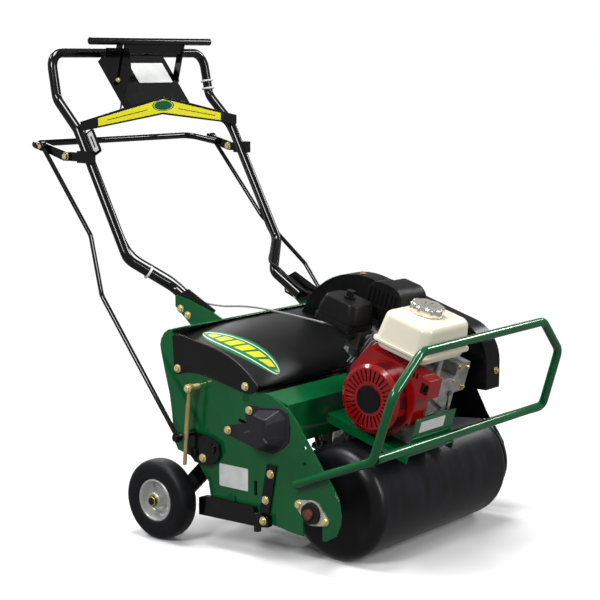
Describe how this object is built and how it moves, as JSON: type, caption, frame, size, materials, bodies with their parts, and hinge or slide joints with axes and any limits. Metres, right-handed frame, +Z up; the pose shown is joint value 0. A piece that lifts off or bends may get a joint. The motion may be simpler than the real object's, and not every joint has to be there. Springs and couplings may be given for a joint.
{
  "type": "core aerator",
  "caption": "Walk-behind core aerator: engine on a tray over a driven drum, tine reel under a hood between side plates, lift wheels and a bent tube handle with control bails.",
  "frame": {"origin": "middle of the footprint box on the ground, under the machine", "axes": "+X to the operator's left, +Y to the rear where the operator walks, +Z up; the engine and the drum face -Y"},
  "size_m": [0.874, 1.2723, 1.253],
  "materials": {
    "green_paint": "gloss",
    "black_paint": "gloss",
    "cover_black": "satin",
    "drum_paint": "satin",
    "zinc": "satin",
    "steel": "satin",
    "cast": "matte",
    "plastic_black": "satin",
    "yellow_band": "gloss",
    "cable_black": "satin",
    "cable_grey": "satin",
    "belt": "matte",
    "tyre": "matte",
    "rim": "satin",
    "engine_alloy": "satin",
    "red_paint": "gloss",
    "tank_cream": "gloss",
    "cap_chrome": "polished",
    "muffler_black": "matte"
  },
  "bodies": {
    "frame": {"side_plate_right": "green_paint", "side_plate_left": "green_paint", "rear_panel": "green_paint", "tine_hood": "cover_black", "cross_beam": "green_paint", "engine_tray": "green_paint", "front_guard": "green_paint", "guard_cross_tube": "green_paint", "belt_guard": "cover_black", "drum_bearings": "zinc", "shaft_covers": "plastic_black", "tine_straps": "black_paint", "lower_rails": "black_paint", "handle_brackets": "green_paint", "wing_plates": "black_paint", "zinc_bolts": "zinc", "handle_tube": "black_paint", "console": "black_paint", "chevron_band": "yellow_band", "lift_brackets": "black_paint", "clutch_cable": "cable_black", "throttle_cable": "cable_grey", "drive_belt": "belt", "drive_chain": "steel", "crankcase": "engine_alloy", "cylinder": "engine_alloy", "fan_cover": "red_paint", "recoil_disc": "plastic_black", "fuel_tank": "tank_cream", "air_cleaner": "plastic_black", "carburettor": "engine_alloy", "muffler": "muffler_black", "muffler_shield": "muffler_black"},
    "drum": {"drum_shell": "drum_paint", "drum_shaft": "steel", "drum_sprocket": "steel"},
    "jack": {"jack_shaft": "steel", "driven_pulley": "cast"},
    "crank": {"crankshaft": "steel"},
    "reel": {"tine_reel": "cast", "tines": "steel"},
    "wheel_lift": {"rock_shaft": "black_paint", "bell_crank_right": "black_paint", "bell_crank_left": "black_paint", "wheel_arm_right": "black_paint", "wheel_arm_left": "black_paint"},
    "wheel_right": {"tyre_right": "tyre", "rim_right": "rim"},
    "wheel_left": {"tyre_left": "tyre", "rim_left": "rim"},
    "lift_bail": {"lift_bail": "black_paint"},
    "lift_rods": {"lift_rod_right": "black_paint", "lift_rod_left": "black_paint"},
    "depth_rods": {"depth_rod_right": "zinc", "depth_rod_left": "zinc"},
    "drive_bail": {"drive_bail": "black_paint"},
    "fuel_cap": {"fuel_cap": "cap_chrome"},
    "recoil_grip": {"recoil_grip": "plastic_black"},
    "choke_lever": {"choke_lever": "plastic_black"},
    "engine_switch": {"engine_switch": "plastic_black"}
  },
  "joints": [
    {"name": "drum_spin", "type": "hinge", "parent": "frame", "child": "drum", "pos_m": [0, -0.38425, 0.14], "axis": [1, 0, 0], "continuous": true},
    {"name": "jack_spin", "type": "hinge", "parent": "frame", "child": "jack", "pos_m": [0, -0.17825, 0.388], "axis": [1, 0, 0], "continuous": true},
    {"name": "crank_spin", "type": "hinge", "parent": "frame", "child": "crank", "pos_m": [0, -0.45825, 0.404], "axis": [1, 0, 0], "continuous": true},
    {"name": "reel_spin", "type": "hinge", "parent": "frame", "child": "reel", "pos_m": [0, -0.13225, 0.13], "axis": [1, 0, 0], "continuous": true},
    {"name": "wheel_lift", "type": "hinge", "parent": "frame", "child": "wheel_lift", "pos_m": [0, -0.07625, 0.248], "axis": [1, 0, 0], "range_deg": [0, 23]},
    {"name": "wheel_right_spin", "type": "hinge", "parent": "wheel_lift", "child": "wheel_right", "pos_m": [-0.398, 0.07375, 0.102], "axis": [1, 0, 0], "continuous": true},
    {"name": "wheel_left_spin", "type": "hinge", "parent": "wheel_lift", "child": "wheel_left", "pos_m": [0.398, 0.07375, 0.102], "axis": [1, 0, 0], "continuous": true},
    {"name": "lift_bail_swing", "type": "hinge", "parent": "frame", "child": "lift_bail", "pos_m": [0, 0.47575, 0.942], "axis": [1, 0, 0], "range_deg": [0, 23]},
    {"name": "lift_rod_swing", "type": "hinge", "parent": "lift_bail", "child": "lift_rods", "pos_m": [0, 0.55575, 0.966], "axis": [1, 0, 0], "range_deg": [-23, 0]},
    {"name": "depth_rod_swing", "type": "hinge", "parent": "frame", "child": "depth_rods", "pos_m": [0, -0.02325, 0.397], "axis": [1, 0, 0], "range_deg": [-7, 0]},
    {"name": "drive_bail_swing", "type": "hinge", "parent": "frame", "child": "drive_bail", "pos_m": [0, 0.50075, 1.135], "axis": [1, 0, 0], "range_deg": [-36, 0], "stiffness_Nm_per_rad": 2.5, "springref_deg": 20.05},
    {"name": "fuel_cap_turn", "type": "hinge", "parent": "frame", "child": "fuel_cap", "pos_m": [-0.1105, -0.5219, 0.5824], "axis": [0, -0.2756, 0.9613], "range_deg": [0, 100]},
    {"name": "recoil_pull", "type": "slide", "parent": "frame", "child": "recoil_grip", "axis": [-0.6, 0.769, 0.2205], "range_m": [0, 0.45], "stiffness_N_per_m": 20, "springref_m": -0.1},
    {"name": "choke_swing", "type": "hinge", "parent": "frame", "child": "choke_lever", "pos_m": [-0.181, -0.35085, 0.52635], "axis": [1, 0, 0], "range_deg": [-35, 0]},
    {"name": "engine_switch_turn", "type": "hinge", "parent": "frame", "child": "engine_switch", "pos_m": [-0.199, -0.58974, 0.43808], "axis": [1, 0, 0], "range_deg": [0, 60]}
  ],
  "couplings": [
    {"joint": "jack_spin", "follows": "drum_spin", "ratio": 3.4286},
    {"joint": "crank_spin", "follows": "drum_spin", "ratio": 7.1688},
    {"joint": "lift_bail_swing", "follows": "wheel_lift", "ratio": 1},
    {"joint": "lift_rod_swing", "follows": "wheel_lift", "ratio": -1},
    {"joint": "depth_rod_swing", "follows": "wheel_lift", "ratio": -0.3}
  ]
}
